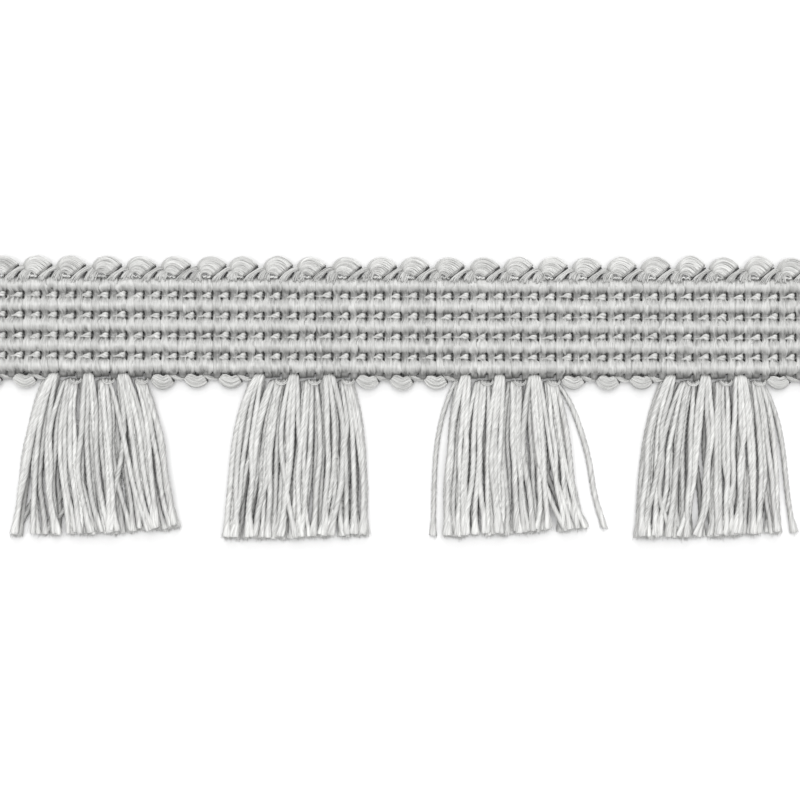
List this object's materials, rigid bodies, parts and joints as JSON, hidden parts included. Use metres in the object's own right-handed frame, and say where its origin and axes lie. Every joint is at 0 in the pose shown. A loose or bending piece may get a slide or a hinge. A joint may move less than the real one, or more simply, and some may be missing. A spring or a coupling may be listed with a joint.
{
  "type": "bell fringe",
  "caption": "Cut length of bell fringe: a ribbed woven heading with looped edges and spaced bells of cut yarn along its lower edge.",
  "frame": {"origin": "on the surface that the fringe lies on, under the middle of its outer box", "axes": "+X along the heading, +Y across it from the bells towards the plain looped edge, +Z out of its face"},
  "size_m": [0.1174, 0.0382, 0.0025],
  "materials": {
    "heading_yarn": "satin yarn packed over cords, pale warm grey",
    "loop_yarn": "soft untwisted floss, pale warm grey",
    "bell_yarn": "two-ply twisted yarn with fluffy cut ends, pale warm grey"
  },
  "bodies": {
    "root": {"heading": "heading_yarn", "loops_top": "loop_yarn", "loops_low_1": "loop_yarn", "loops_low_2": "loop_yarn", "loops_low_3": "loop_yarn", "loops_low_4": "loop_yarn", "loops_low_5": "loop_yarn", "bell_1": "bell_yarn", "bell_2": "bell_yarn", "bell_3": "bell_yarn", "bell_4": "bell_yarn"}
  },
  "joints": []
}
